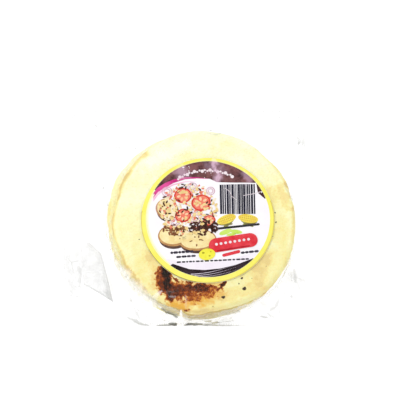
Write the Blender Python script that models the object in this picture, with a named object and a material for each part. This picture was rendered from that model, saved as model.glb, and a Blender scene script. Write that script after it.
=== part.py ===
"""A clear sealed bag over a stack of three filled flatbreads, with a round sticker on top.

Metres, +Z up. The bag lies flat with the sticker up. Its front edge is at -Y. The origin is
on the surface that it lies on, under the middle of the bag's outline.
"""

import math

import bmesh
import bpy

# The bag, laid flat
BAG_WIDTH = 0.178
BAG_DEPTH = 0.1566
BAG_CORNERS = (
    (0.0890, -0.0610),
    (0.0890, 0.0700),
    (0.0810, 0.0783),
    (-0.0820, 0.0783),
    (-0.0890, 0.0690),
    (-0.0890, -0.0560),
    (-0.0730, -0.0690),
    (-0.0380, -0.0783),
    (0.0560, -0.0783),
    (0.0800, -0.0700),
)
SPOKES = 128
SHARP_ANGLE = 75

# The stack inside: radius, shift from the stack's middle, and turn of each bread's outline
STACK_MIDDLE = (0.0046, -0.0096)
TOP_BREAD = (0.0638, 0.0014, -0.0004, 0.0)
MIDDLE_BREAD = (0.0632, -0.0022, 0.0032, 0.5)
BOTTOM_BREAD = (0.0640, -0.0014, 0.0006, 0.15)
BREAD_THICKNESS = 0.0081
BREAD_OVAL = 0.022
BREAD_SQUARE = 0.008
STACK_HEIGHT = 3 * BREAD_THICKNESS
DOME_HEIGHT = 0.0009
HOLLOW_DEPTH = 0.0004
HOLLOW_SPACING = 0.047
HOLLOW_START = (0.7, -0.4)

# The film over the stack, and the loose margin round it
SHOULDER_RADIUS = 0.0042
PLATEAU_SHARES = (0.20, 0.40, 0.60, 0.80, 0.93, 1.0)
SHOULDER_ANGLES = (66, 42, 16, -14)
RIM_RADIUS = 0.0036
RIM_ANGLES = (34, 0)
GROOVE_DEPTH = 0.0013
TENT_WIDTH = 0.0070
TENT_SHARE = 0.5
PLEATS = 11
PLEAT_SWELLS = 5
PLEAT_DEPTH = 0.0007
MARGIN_SHARES = (0.16, 0.32, 0.5, 0.68, 0.84, 1.0)
MARGIN_THICKNESS = 0.0010
MARGIN_HEIGHT = 0.0026
MARGIN_WAVE = 0.0011
MARGIN_WAVELENGTHS = (0.061, 0.082)
MARGIN_SLANT = 0.43
FOOT_RISE = 0.0022
BASE_INSET = 0.0040

# The ear, where the film at the front left corner is folded back on itself
EAR_BACK = (-0.0655, -0.0160)
EAR_FRONT = (-0.0560, -0.0620)
EAR_WIDTH = 0.0150
EAR_DROP = 0.0060
EAR_HEIGHT = 0.0058
EAR_FADE = (0.35, 0.25)

# The sticker
LABEL_MIDDLE = (0.0086, -0.0109)
LABEL_RADIUS = 0.0450
LABEL_THICKNESS = 0.0003
LABEL_GAP = 0.0003
LABEL_SPOKES = 96
LABEL_SHARES = (0.22, 0.44, 0.66, 0.85, 1.0)


def smooth(share):
    """Eases a share from 0 to 1."""
    share = min(1.0, max(0.0, share))
    return share * share * (3 - 2 * share)


def bread_reach(bread, angle):
    """Distance from the stack's middle to a bread's rim."""
    radius, shift_x, shift_y, turn = bread
    oval = BREAD_OVAL * math.cos(2 * (angle - turn))
    square = BREAD_SQUARE * math.cos(4 * (angle - turn))
    return radius * (1 - oval - square) + shift_x * math.cos(angle) + shift_y * math.sin(angle)


def top_height(x, y):
    """Height of the film over the top bread, which is slightly domed and uneven."""
    across, along = x - STACK_MIDDLE[0], y - STACK_MIDDLE[1]
    share = math.hypot(across, along) / TOP_BREAD[0]
    dome = DOME_HEIGHT * (1 - share * share)
    wave = 2 * math.pi / HOLLOW_SPACING
    hollow = math.sin(wave * across + HOLLOW_START[0]) * math.cos(wave * along + HOLLOW_START[1])
    return STACK_HEIGHT + dome + HOLLOW_DEPTH * hollow


def ear_height(x, y):
    """Height that the folded ear adds to the margin: a slope up to a crease, then a drop."""
    run_x, run_y = EAR_FRONT[0] - EAR_BACK[0], EAR_FRONT[1] - EAR_BACK[1]
    length = math.hypot(run_x, run_y)
    along = ((x - EAR_BACK[0]) * run_x + (y - EAR_BACK[1]) * run_y) / length
    outward = ((x - EAR_BACK[0]) * run_y - (y - EAR_BACK[1]) * run_x) / length
    if outward > 0:
        across = 1 - outward / EAR_WIDTH
    else:
        across = 1 + outward / EAR_DROP
    ends = smooth(along / (EAR_FADE[0] * length)) * smooth((length - along) / (EAR_FADE[1] * length))
    return EAR_HEIGHT * smooth(across) * ends


def margin_height(x, y):
    """Height of the top of the loose margin, which waves gently."""
    along = 2 * math.pi * (x + MARGIN_SLANT * y) / MARGIN_WAVELENGTHS[0]
    across = 2 * math.pi * (y - MARGIN_SLANT * x) / MARGIN_WAVELENGTHS[1]
    return MARGIN_HEIGHT + MARGIN_WAVE * math.sin(along) * math.cos(across + 1) + ear_height(x, y)


def edge_reach(angle):
    """Distance from the stack's middle to the bag's outline."""
    run_x, run_y = math.cos(angle), math.sin(angle)
    for i, (x1, y1) in enumerate(BAG_CORNERS):
        x2, y2 = BAG_CORNERS[(i + 1) % len(BAG_CORNERS)]
        side_x, side_y = x2 - x1, y2 - y1
        from_x, from_y = x1 - STACK_MIDDLE[0], y1 - STACK_MIDDLE[1]
        turn = run_x * side_y - run_y * side_x
        if abs(turn) < 1e-9:
            continue
        reach = (from_x * side_y - from_y * side_x) / turn
        share = (from_x * run_y - from_y * run_x) / turn
        if reach > 0 and 0 <= share <= 1:
            return reach
    raise ValueError("the outline does not go round the stack")


def bag_edge():
    """Points along the bag's outline, stretched to the bag's exact width and depth."""
    points = []
    for i in range(SPOKES):
        angle = 2 * math.pi * i / SPOKES
        reach = edge_reach(angle)
        points.append((STACK_MIDDLE[0] + reach * math.cos(angle), STACK_MIDDLE[1] + reach * math.sin(angle)))
    spans = []
    for axis, size in ((0, BAG_WIDTH), (1, BAG_DEPTH)):
        low = min(point[axis] for point in points)
        high = max(point[axis] for point in points)
        spans.append(((low + high) / 2, size / (high - low)))
    (middle_x, stretch_x), (middle_y, stretch_y) = spans
    return [((x - middle_x) * stretch_x, (y - middle_y) * stretch_y) for x, y in points]


def spoke(edge):
    """One line of points from the stack's middle over the top, out to the edge and back under."""
    out_x, out_y = edge[0] - STACK_MIDDLE[0], edge[1] - STACK_MIDDLE[1]
    full = math.hypot(out_x, out_y)
    angle = math.atan2(out_y, out_x)

    def point(reach):
        return STACK_MIDDLE[0] + reach * out_x / full, STACK_MIDDLE[1] + reach * out_y / full

    top = bread_reach(TOP_BREAD, angle)
    middle = bread_reach(MIDDLE_BREAD, angle)
    bottom = bread_reach(BOTTOM_BREAD, angle)
    line = []

    flat = top - SHOULDER_RADIUS
    for share in PLATEAU_SHARES:
        x, y = point(share * flat)
        line.append((x, y, top_height(x, y)))
    for degrees in SHOULDER_ANGLES:
        lean = math.radians(degrees)
        x, y = point(flat + SHOULDER_RADIUS * math.cos(lean))
        line.append((x, y, top_height(*point(flat)) - SHOULDER_RADIUS * (1 - math.sin(lean))))
    for above, below, level in ((top, middle, 2), (middle, bottom, 1)):
        groove = min(above, below) - GROOVE_DEPTH
        line.append((*point(groove), level * BREAD_THICKNESS))
        for degrees in RIM_ANGLES:
            lean = math.radians(degrees)
            reach = below - RIM_RADIUS * (1 - math.cos(lean))
            height = (level - 0.5) * BREAD_THICKNESS + RIM_RADIUS * math.sin(lean)
            line.append((*point(reach), height))

    pleat = PLEAT_DEPTH * math.sin(PLEATS * angle) * math.cos(PLEAT_SWELLS * angle)
    gap = full - bottom
    foot = bottom + min(TENT_WIDTH, TENT_SHARE * gap) + pleat * min(1.0, gap / (3 * TENT_WIDTH))
    under = []
    x, y = point(foot)
    height = margin_height(x, y)
    line.append((x, y, height + FOOT_RISE * min(1.0, gap / (2 * TENT_WIDTH))))
    under.append((x, y, height - MARGIN_THICKNESS))
    for share in MARGIN_SHARES:
        x, y = point(foot + share * (full - foot))
        height = margin_height(x, y)
        line.append((x, y, height))
        under.append((x, y, height - MARGIN_THICKNESS))
    line.extend(reversed(under))
    line.append((*point(bottom - BASE_INSET), 0.0))
    return line


def closed_body(name, spokes, first, last, colour, roughness):
    """A closed object from lines that all run from the point first to the point last."""
    shape = bmesh.new()
    first_vert = shape.verts.new(first)
    last_vert = shape.verts.new(last)
    lines = [[shape.verts.new(place) for place in line] for line in spokes]
    for line, beside in zip(lines, lines[1:] + lines[:1]):
        shape.faces.new((first_vert, line[0], beside[0]))
        shape.faces.new((last_vert, beside[-1], line[-1]))
        for i in range(len(line) - 1):
            shape.faces.new((line[i], line[i + 1], beside[i + 1], beside[i]))
    bmesh.ops.triangulate(shape, faces=shape.faces[:])
    bmesh.ops.recalc_face_normals(shape, faces=shape.faces[:])
    mesh = bpy.data.meshes.new(name)
    shape.to_mesh(mesh)
    shape.free()
    mesh.shade_smooth()
    mesh.set_sharp_from_angle(angle=math.radians(SHARP_ANGLE))
    mesh.materials.append(finish(name, colour, roughness))
    body = bpy.data.objects.new(name, mesh)
    bpy.context.scene.collection.objects.link(body)
    return body


def finish(name, colour, roughness):
    """A plain material."""
    material = bpy.data.materials.new(name)
    material.use_nodes = True
    shader = material.node_tree.nodes["Principled BSDF"]
    shader.inputs["Base Color"].default_value = (*colour, 1.0)
    shader.inputs["Roughness"].default_value = roughness
    shader.inputs["Metallic"].default_value = 0.0
    return material


def make_bag():
    """The bag with the stack shut inside it, as one solid with a flat underside."""
    x, y = STACK_MIDDLE
    lines = [spoke(edge) for edge in bag_edge()]
    return closed_body("bag", lines, (x, y, top_height(x, y)), (x, y, 0.0), (0.95, 0.90, 0.62), 0.25)


def make_label():
    """The round sticker, which follows the film under it."""
    lift = LABEL_GAP + LABEL_THICKNESS
    middle_x, middle_y = LABEL_MIDDLE
    lines = []
    for i in range(LABEL_SPOKES):
        angle = 2 * math.pi * i / LABEL_SPOKES
        above = []
        for share in LABEL_SHARES:
            x = middle_x + share * LABEL_RADIUS * math.cos(angle)
            y = middle_y + share * LABEL_RADIUS * math.sin(angle)
            above.append((x, y, top_height(x, y) + lift))
        below = [(x, y, z - LABEL_THICKNESS) for x, y, z in reversed(above)]
        lines.append(above + below)
    height = top_height(middle_x, middle_y)
    first = (middle_x, middle_y, height + lift)
    last = (middle_x, middle_y, height + LABEL_GAP)
    return closed_body("label", lines, first, last, (0.98, 0.93, 0.30), 0.35)


for old in list(bpy.data.objects):
    bpy.data.objects.remove(old, do_unlink=True)
make_bag()
make_label()
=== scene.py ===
"""Looks for a clear bag of filled corn flatbreads with a round sticker on top."""

import math

import bmesh
import bpy
import numpy as np
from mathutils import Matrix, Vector, noise


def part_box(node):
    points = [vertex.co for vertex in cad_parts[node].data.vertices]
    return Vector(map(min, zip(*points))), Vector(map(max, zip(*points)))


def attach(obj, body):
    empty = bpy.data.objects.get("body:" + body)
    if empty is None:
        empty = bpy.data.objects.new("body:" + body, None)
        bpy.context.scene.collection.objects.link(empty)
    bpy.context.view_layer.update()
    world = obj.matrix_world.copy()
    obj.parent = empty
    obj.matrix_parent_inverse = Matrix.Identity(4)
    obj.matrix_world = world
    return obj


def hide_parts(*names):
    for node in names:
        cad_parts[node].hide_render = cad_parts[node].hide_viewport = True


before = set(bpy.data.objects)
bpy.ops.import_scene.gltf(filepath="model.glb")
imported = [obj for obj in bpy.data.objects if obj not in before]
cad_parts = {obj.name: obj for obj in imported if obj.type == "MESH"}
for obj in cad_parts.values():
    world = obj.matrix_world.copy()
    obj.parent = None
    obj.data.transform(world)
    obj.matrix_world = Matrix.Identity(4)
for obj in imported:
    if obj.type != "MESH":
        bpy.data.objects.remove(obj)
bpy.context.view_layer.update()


# The three breads. Each is corn dough closed round a cheese filling, patted flat by hand and
# browned on a griddle. They were stacked by hand, so the top one sits a little to the front right
# and the rims of the others show past it at the back left.
STACK_MIDDLE = (0.0046, -0.0096)
TOP_BREAD = (0.0638, 0.0014, -0.0004, 0.0)
MIDDLE_BREAD = (0.0632, -0.0022, 0.0032, 0.5)
BOTTOM_BREAD = (0.0640, -0.0014, 0.0006, 0.15)
BULGES = {
    TOP_BREAD: (
        (45, 20, -0.0013), (96, 30, 0.0017), (167, 9, -0.0013), (185, 13, 0.0012),
        (205, 10, -0.0015), (265, 12, 0.0021), (286, 9, -0.0006), (326, 36, 0.001),
    ),
    MIDDLE_BREAD: ((168, 26, -0.0011), (203, 14, 0.0012), (266, 14, 0.0012)),
    BOTTOM_BREAD: ((172, 24, -0.0008), (204, 14, 0.001), (268, 16, 0.0008)),
}
BREAD_THICKNESS = 0.0081
BREAD_OVAL = 0.022
BREAD_SQUARE = 0.008
BREAD_INSET = 0.0006
BREAD_GAP = 0.0002
FACE_DROP = 0.00035
RIM_DEPTH = 0.0038
RIM_LEANS = range(80, -81, -8)
RIM_BLUNTNESS = (0.8, 0.9)
UNDERSIDE_SHARES = (1.0, 0.9, 0.7, 0.45, 0.2)
PATS = ((0.017, 0.00024), (0.0045, 0.00012))
PAT_LIMIT = 0.0001
CRACK_SIZE = 0.0085
CRACK_DEPTH = 0.0011
CRACK_RANGE = (-0.9, 0.35)
STACK_HEIGHT = 3 * BREAD_THICKNESS
DOME_HEIGHT = 0.0009
HOLLOW_DEPTH = 0.0004
HOLLOW_SPACING = 0.047
HOLLOW_START = (0.7, -0.4)
VIEW_RISE = math.radians(69)
LIGHT_LEVEL = 1.15

# Marks are in millimetres in the plane that the camera sees: two ends, half width and strength.
RAGGED_SIZES = (0.0052, 0.0019)
RAGGED_SHARE = 0.6
BURNS = (
    (-20, -32.5, -18.8, -37.9, 3.2, 0.96), (-19, -37.9, -18.3, -44.7, 3.4, 0.95),
    (-18.3, -44.7, -16.2, -52, 3.8, 0.86), (-16.9, -46, -12.2, -49.6, 3.6, 0.8),
    (-22.3, -34.6, -22.3, -46, 2.6, 0.72), (-24.2, -33.9, -24.6, -42, 2.2, 0.54),
    (-24.6, -42, -23.4, -48.7, 2, 0.5), (-12.9, -46.4, -4.7, -47.4, 4.6, 0.74),
    (-4.7, -46.2, 7.4, -46.9, 3, 0.78), (-12.6, -50.6, -3.4, -50.8, 4, 0.63),
    (-3.4, -49.6, 8.8, -49.6, 4, 0.56), (7.4, -48.6, 13.6, -48.4, 3.4, 0.48),
    (12.4, -49, 17, -48.2, 3, 0.38), (-8.4, -53.6, 1.2, -54.2, 3.4, 0.42),
    (-14.8, -39.4, -11.3, -40.8, 0.9, 0.68), (-5.1, -42.2, -1.6, -43.1, 0.9, 0.74),
    (1.2, -44.6, 2.4, -45.2, 1.9, 0.76), (6.2, -44.8, 7, -45.6, 1.7, 0.76),
    (9.7, -45.8, 14.4, -46.3, 1, 0.64), (20.6, -41.4, 17.8, -44.2, 1.3, 0.8),
    (17.8, -44.2, 16, -46.6, 1.5, 0.78), (-6.6, -62, -4.2, -61.2, 1.3, 0.84),
)
GOLDS = (
    (-15, -57.3, -9.5, -59.2, 3, 1), (-7.4, -56.9, 6.1, -54.8, 3.2, 0.8),
    (6.1, -54.4, 13.4, -51.7, 2.8, 0.62), (13.6, -47.2, 17.6, -50, 3, 0.52),
    (-15.2, -42.9, -4.3, -43.6, 1.7, 0.4), (-1.6, -43.4, 16.6, -43.8, 1.5, 0.42),
    (-26.6, -35, -27.2, -46, 2.2, 0.34),
)
TANS = (
    (-31, -24.5, -28, -30, 4.5, 0.6), (46, -24, 42, -43, 7.6, 0.82), (-36, -36, -30, -48, 4.5, 0.52),
    (-8, -62.5, 12, -62, 3, 0.7), (20, -52, 38, -47, 6, 0.78), (56, 14, 58, -16, 8, 0.58),
    (48, 18, 53, 6, 4, 0.62), (58, 20, 62, 6, 4.4, 0.78), (22, 49, 38, 42, 6, 0.26),
    (50, -4, 52, -12, 3.4, 0.66), (-53.6, -20, -44.6, -34, 1.5, 0.82),
    (-44.6, -34, -37.6, -42.4, 1.6, 0.88), (-37.6, -42.4, -31.2, -49.4, 1.5, 0.84),
)
RIM_TANS = (
    (-34, 43.4, -36.4, 42.2, 2.4, 0.82), (-34.9, 43.6, -41.2, 35.7, 1.3, 0.8),
    (-41.2, 35.7, -47.7, 25.5, 1.3, 0.82), (-47.7, 25.5, -52, 12, 1, 0.66),
)

# Browning on the rims: a heading, a spread and a strength round the stack. Below that, where it
# starts and how far it takes to grow, over the bread's own reach and over its own thickness.
RIM_BROWNS = ((178, 76, 1.0), (20, 44, 0.9), (268, 50, 0.12))
BROWNED_RIM = (0.945, 0.035)
BROWNED_FOOT = (0.4, 0.3)
BROWNED_SHOULDER = (0.92, 0.09)
BROWNED_LEAST = 0.08
BROWNED_UNEVEN = 0.9
BROWNED_SIZE = 0.011

# Painted shade: part of this darkening stands in for the lamp's light falling off towards the front right,
# the rest is the dough's own tan.
# The dough darkens towards the front right: its tan in the middle, and its growth for each metre.
TAN_MIDDLE = 0.30
TAN_SHADE_BACK = -4.0
TAN_SHADE_RIGHT = 1.2
TAN_MOST = 0.90


def ease(share):
    """Eases an array of shares from 0 to 1."""
    share = np.clip(share, 0, 1)
    return share * share * (3 - 2 * share)


def nearness(angle, middle, spread):
    """How near each angle is to a heading in degrees: 1 on it, and 0 a spread away."""
    off = (np.degrees(angle) - middle + 180) % 360 - 180
    return 1 - np.abs(off) / spread


def round_marks(angle, marks, steepness):
    """The strongest of several marks round the stack at each angle."""
    return np.max([
        strength * ease(steepness * nearness(angle, middle, spread)) for middle, spread, strength in marks
    ], axis=0)


def bread_reach(bread, angle):
    """Distance from the stack's middle to a bread's rim at each angle."""
    radius, shift_x, shift_y, turn = bread
    uneven = BREAD_OVAL * np.cos(2 * (angle - turn)) + BREAD_SQUARE * np.cos(4 * (angle - turn))
    reach = radius * (1 - uneven) + shift_x * np.cos(angle) + shift_y * np.sin(angle)
    for middle, spread, depth in BULGES[bread]:
        reach = reach + depth * ease(nearness(angle, middle, spread))
    return reach


def top_height(x, y):
    """Height of the film over the top bread, which is slightly domed and uneven."""
    across, along = x - STACK_MIDDLE[0], y - STACK_MIDDLE[1]
    share = np.hypot(across, along) / TOP_BREAD[0]
    wave = 2 * math.pi / HOLLOW_SPACING
    hollow = np.sin(wave * across + HOLLOW_START[0]) * np.cos(wave * along + HOLLOW_START[1])
    return STACK_HEIGHT + DOME_HEIGHT * (1 - share * share) + HOLLOW_DEPTH * hollow


def lumps(places, size, seed, octaves=3):
    """Soft random heights, about -1 to 1, at an array of places."""
    spots = places.reshape(-1, 3) / size + 17.3 * seed
    heights = [noise.fractal(Vector(spot), 1.0, 2.0, octaves) for spot in spots]
    return np.array(heights).reshape(places.shape[:-1])


def marked(places, marks, ragged=0.0, seed=0, pointed=False):
    """The strongest of several marks at each place, with ragged edges or pointed ends where asked."""
    across = 1000 * places[..., 0]
    up = 1000 * (places[..., 1] * math.sin(VIEW_RISE) + places[..., 2] * math.cos(VIEW_RISE))
    if ragged:
        coarse, fine = RAGGED_SIZES
        for line, draw in ((across, seed), (up, seed + 2)):
            line += ragged * (lumps(places, coarse, draw) + RAGGED_SHARE * lumps(places, fine, draw + 1))
    strongest = np.zeros(places.shape[:-1])
    for start_x, start_y, end_x, end_y, half, strength in marks:
        run_x, run_y = end_x - start_x, end_y - start_y
        share = ((across - start_x) * run_x + (up - start_y) * run_y) / max(run_x ** 2 + run_y ** 2, 1e-9)
        share = np.clip(share, 0, 1)
        away = np.hypot(across - start_x - share * run_x, up - start_y - share * run_y)
        if pointed:
            away = away / (0.5 + 0.5 * np.sin(math.pi * share))
        strongest = np.maximum(strongest, strength * np.clip(1.4 - 0.9 * away / half, 0, 1))
    return strongest


def round_mesh(name, rings, first, last):
    """A closed mesh from rings of points that run from a middle point over the edge and back."""
    count, spokes = rings.shape[:2]
    points = np.concatenate((rings.reshape(-1, 3), [first, last]))
    beside = (np.arange(spokes) + 1) % spokes
    faces = []
    for i in range(count - 1):
        near, far = i * spokes + np.arange(spokes), (i + 1) * spokes + np.arange(spokes)
        faces += np.stack((near, far, (i + 1) * spokes + beside, i * spokes + beside), 1).tolist()
    low = (count - 1) * spokes
    faces += [(len(points) - 2, j, beside[j]) for j in range(spokes)]
    faces += [(len(points) - 1, low + beside[j], low + j) for j in range(spokes)]
    mesh = bpy.data.meshes.new(name)
    mesh.from_pydata(points.tolist(), [], faces)
    mesh.shade_smooth()
    return mesh


def placed(name, mesh, material):
    """Puts a finished mesh in the scene with its material."""
    mesh.materials.clear()
    mesh.materials.append(material)
    piece = bpy.data.objects.new(name, mesh)
    bpy.context.scene.collection.objects.link(piece)
    return piece


def paint_points(mesh, **fields):
    """Keeps numbers for the points of a mesh, under the names that the material reads."""
    for name, values in fields.items():
        spread = np.broadcast_to(np.ravel(values), len(mesh.vertices))
        mesh.attributes.new(name, "FLOAT", "POINT").data.foreach_set("value", spread.astype(np.float32))


def bread_rings(bread, level, spokes, face_shares, seed):
    """The rings of one bread, from the middle of its face over the rim to its underside."""
    angle = np.linspace(0, 2 * math.pi, spokes, endpoint=False)
    reach = bread_reach(bread, angle) - BREAD_INSET
    out = np.stack((np.cos(angle), np.sin(angle)), 1)
    middle_height = (level - 0.5) * BREAD_THICKNESS
    half = 0.5 * BREAD_THICKNESS - BREAD_GAP
    rings = []

    def ring(distance, height):
        flat = np.array(STACK_MIDDLE) + distance[:, None] * out
        rings.append(np.column_stack((flat, np.broadcast_to(height, distance.shape))))

    for share in face_shares:
        ring(share * (reach - RIM_DEPTH), middle_height + half)
    for lean in np.radians(RIM_LEANS):
        inward = 1 - math.cos(lean) ** RIM_BLUNTNESS[0]
        bulge = math.copysign(abs(math.sin(lean)) ** RIM_BLUNTNESS[1], lean)
        ring(reach - RIM_DEPTH * inward, middle_height + half * bulge)
    for share in UNDERSIDE_SHARES:
        ring(share * (reach - RIM_DEPTH), middle_height - half)
    rings = np.array(rings)

    rise = (rings[..., 2] - middle_height) / half
    faces_up, side = np.clip(rise, 0, 1), np.clip(1 - np.abs(rise), 0, 1)
    if level == 3:
        face_height = top_height(rings[..., 0], rings[..., 1]) - FACE_DROP
        rings[..., 2] += faces_up * (face_height - middle_height - half)
        pats = sum(height * lumps(rings, size, seed + i) for i, (size, height) in enumerate(PATS))
        rings[..., 2] += ease(faces_up) * np.minimum(pats, PAT_LIMIT)
    cracks = CRACK_DEPTH * side * np.clip(lumps(rings, CRACK_SIZE, seed + 2, 4), *CRACK_RANGE)
    away = rings[..., :2] - np.array(STACK_MIDDLE)
    rings[..., :2] += away / np.linalg.norm(away, axis=2, keepdims=True) * cracks[..., None]
    return rings


def fill(tree, node, inputs):
    """Fills a node's inputs with values or with other nodes' outputs."""
    for name, value in inputs.items():
        if isinstance(value, bpy.types.NodeSocket):
            tree.links.new(value, node.inputs[name])
        else:
            node.inputs[name].default_value = value


def wire(tree, kind, inputs=None, **settings):
    """Adds a node, sets it up and fills its inputs."""
    made = tree.nodes.new(kind)
    for name, value in settings.items():
        setattr(made, name, value)
    fill(tree, made, inputs or {})
    return made


def seen(red, green, blue):
    """The paint colour that shows as this colour, in steps of 255, under the room's light."""
    steps = np.array((red, green, blue)) / 255
    light = np.where(steps <= 0.04045, steps / 12.92, ((steps + 0.055) / 1.055) ** 2.4)
    return (*(light / LIGHT_LEVEL).tolist(), 1.0)


def ramp(tree, amount, stops):
    """A colour ramp through stops of place and colour."""
    made = wire(tree, "ShaderNodeValToRGB", {"Fac": amount})
    points = made.color_ramp.elements
    while len(points) < len(stops):
        points.new(0.5)
    for point, (place, colour) in zip(points, stops):
        point.position = place
        point.color = colour
    return made.outputs["Color"]


def blended(tree, amount, under, over):
    """One colour laid over another by an amount."""
    return wire(tree, "ShaderNodeMix", {"Factor": amount, 6: under, 7: over}, data_type="RGBA").outputs[2]


def worked(tree, operation, *values):
    """The result of one sum on numbers or other nodes' outputs."""
    return wire(tree, "ShaderNodeMath", dict(enumerate(values)), operation=operation).outputs[0]


def stretched(tree, value, low, high, start=0.0, end=1.0):
    """A number stretched from its own range to another, and held inside it."""
    sizes = {"Value": value, "From Min": low, "From Max": high, "To Min": start, "To Max": end}
    return wire(tree, "ShaderNodeMapRange", sizes).outputs[0]


def grain(tree, where, scale, detail=3.0):
    """A noise pattern with a scale in lumps for each metre."""
    made = wire(tree, "ShaderNodeTexNoise", {"Vector": where, "Scale": scale, "Detail": detail})
    return made.outputs["Fac"]


def swing(tree, pattern, width):
    """A pattern from 0 to 1, made to swing about 0 by a width."""
    return worked(tree, "MULTIPLY_ADD", pattern, width, -width / 2)


def field_value(tree, name):
    """A number that the mesh carries under a name."""
    return wire(tree, "ShaderNodeAttribute", attribute_name=name).outputs["Fac"]


def new_finish(name):
    """An empty material with its shader, output and Object coordinates."""
    material = bpy.data.materials.new(name)
    material.use_nodes = True
    tree = material.node_tree
    tree.nodes.clear()
    shader = wire(tree, "ShaderNodeBsdfPrincipled")
    output = wire(tree, "ShaderNodeOutputMaterial", {"Surface": shader.outputs[0]})
    where = wire(tree, "ShaderNodeTexCoord").outputs["Object"]
    return material, tree, shader, output, where


def dough_finish():
    """Griddled corn dough: cream where pale, tan towards the rim and, as painted shade, towards the front
    right, golden to black where it burnt.
    """
    material, tree, shader, _, where = new_finish("griddled_dough")
    patches, mottle = grain(tree, where, 45, 4.0), grain(tree, where, 210, 4.0)
    crumb, grit = grain(tree, where, 700, 3.0), grain(tree, where, 2100, 2.0)

    kept = field_value(tree, "tan")
    tan = worked(tree, "ADD", kept, swing(tree, patches, 1.1))
    tan = worked(tree, "ADD", tan, swing(tree, mottle, 0.4))
    tan = worked(tree, "MINIMUM", tan, worked(tree, "MAXIMUM", kept, 0.84))
    colour = ramp(tree, tan, (
        (0.0, seen(254, 255, 226)),
        (0.3, seen(254, 253, 200)),
        (0.6, seen(251, 241, 167)),
        (0.8, seen(248, 227, 156)),
        (1.0, seen(202, 174, 104)),
    ))
    gold = worked(tree, "ADD", field_value(tree, "gold"), swing(tree, crumb, 0.8))
    gold = worked(tree, "MULTIPLY", worked(tree, "SMOOTH_MAX", gold, 0.0, 0.05), 1.1)
    colour = blended(tree, worked(tree, "MINIMUM", gold, 0.92), colour, seen(240, 180, 62))
    burn = field_value(tree, "burn")
    for scale, width in ((170, 0.50), (520, 0.75), (1300, 0.55)):
        burn = worked(tree, "ADD", burn, swing(tree, grain(tree, where, scale), width))
    scorched = ramp(tree, burn, (
        (0.30, seen(236, 178, 90)),
        (0.42, seen(204, 122, 44)),
        (0.55, seen(158, 74, 26)),
        (0.72, seen(108, 46, 16)),
        (0.94, seen(30, 16, 5)),
    ))
    height = worked(tree, "MULTIPLY_ADD", crumb, 0.6, worked(tree, "MULTIPLY", grit, 0.4))
    height = worked(tree, "ADD", height, worked(tree, "MULTIPLY", mottle, 0.8))
    bump = wire(tree, "ShaderNodeBump", {"Height": height, "Strength": 0.5, "Distance": 0.0006})
    fill(tree, shader, {
        "Base Color": blended(tree, stretched(tree, burn, 0.20, 0.42), colour, scorched),
        "Roughness": 0.65,
        "Specular IOR Level": 0.2,
        "Subsurface Weight": 0.10,
        "Subsurface Radius": (0.003, 0.002, 0.001),
        "Subsurface Scale": 1.0,
        "Normal": bump.outputs[0],
    })
    return material


def rising(value, start, run):
    """Grows from 0 where a value starts to 1 after a run."""
    return ease((value - start) / run)


dough = dough_finish()
for name, bread, level, spokes, outer_rings, seed in (
    ("bread_top", TOP_BREAD, 3, 640, 64, 1),
    ("bread_middle", MIDDLE_BREAD, 2, 360, 12, 5),
    ("bread_bottom", BOTTOM_BREAD, 1, 360, 12, 9),
):
    face_shares = [*np.linspace(0.05, 0.58, 12), *np.linspace(0.60, 1.0, outer_rings)]
    rings = bread_rings(bread, level, spokes, face_shares, seed)
    ends = [rings[0].mean(0), rings[-1].mean(0)]
    mesh = round_mesh(name, rings, *ends)
    everywhere = np.concatenate((rings.reshape(-1, 3), ends))
    across, along = (everywhere[:, axis] - STACK_MIDDLE[axis] for axis in (0, 1))
    heading = np.arctan2(along, across)
    rim = np.hypot(across, along) / bread_reach(bread, heading)
    rise = everywhere[:, 2] / BREAD_THICKNESS - level + 1
    browned = rising(rim, *BROWNED_RIM) * rising(rise, *BROWNED_FOOT)
    browned *= 1 - rising(rise, *BROWNED_SHOULDER)
    browned *= BROWNED_LEAST + round_marks(heading, RIM_BROWNS, 1.3)
    browned *= 1 + BROWNED_UNEVEN * lumps(everywhere, BROWNED_SIZE, seed)
    # Painted shade: the tan field darkens towards the front right, away from the lamp.
    tan = TAN_MIDDLE + TAN_SHADE_BACK * along + TAN_SHADE_RIGHT * across
    if level == 3:
        tan = np.maximum(tan, marked(everywhere, TANS, 2.2, 31))
        tan = np.maximum(tan, marked(everywhere, RIM_TANS, 0.5, 36))
        tan = np.minimum(tan + 0.5 * browned, TAN_MOST)
        gold = marked(everywhere, GOLDS, 2.0, 41)
        burn = marked(everywhere, BURNS, 2.0, 51)
        burn -= 0.1 * (1 - ease(4 * burn))
    else:
        tan, gold, burn = tan + 0.06 + 0.2 * browned, np.where(along > 0, 0.05, 0.08), -0.15
    paint_points(mesh, tan=tan, gold=gold, burn=burn)
    piece = placed(name, mesh, dough)
    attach(piece, "root")


# Burnt flecks on the top bread: bits of corn and cheese that charred on the griddle and stayed
# stuck to the dough. Each is a small flat grain set into the surface. The list gives its place in
# the camera's plane and its radius in millimetres, and how far it is turned.
FLECK_NARROWNESS = 0.74
FLECK_FLATNESS = 0.28
FLECKS = (
    (32.9, -46.9, 1.46, 0.06), (33.2, -46.1, 0.9, 0.3), (31.3, -39.9, 0.9, 0.75),
    (29.3, -43.5, 0.62, 1.4), (19.1, -52.4, 1.26, 0.85), (18.1, -52.2, 0.8, 0.7),
    (54.5, -2.7, 0.66, 1.1), (54, 3.7, 0.54, 1.8), (52.1, -12.2, 0.52, 0.6), (-37.4, -14.2, 0.62, 0.3),
    (45.4, 8.1, 0.38, 2), (27.8, -42, 0.38, 0.2), (47.6, -32, 0.34, 2.6), (-46, 14, 0.32, 0.9),
    (12, -58.5, 0.36, 1.5), (38, -40, 0.32, 2.2),
)


def on_top_bread(across, up):
    """The place on the top bread that the camera sees at a place in its plane, in millimetres."""
    x, y = 0.001 * across, 0.0
    for _ in range(3):
        height = float(top_height(x, y)) - 0.0004
        y = (0.001 * up - height * math.cos(VIEW_RISE)) / math.sin(VIEW_RISE)
    return x, y, height


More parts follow.
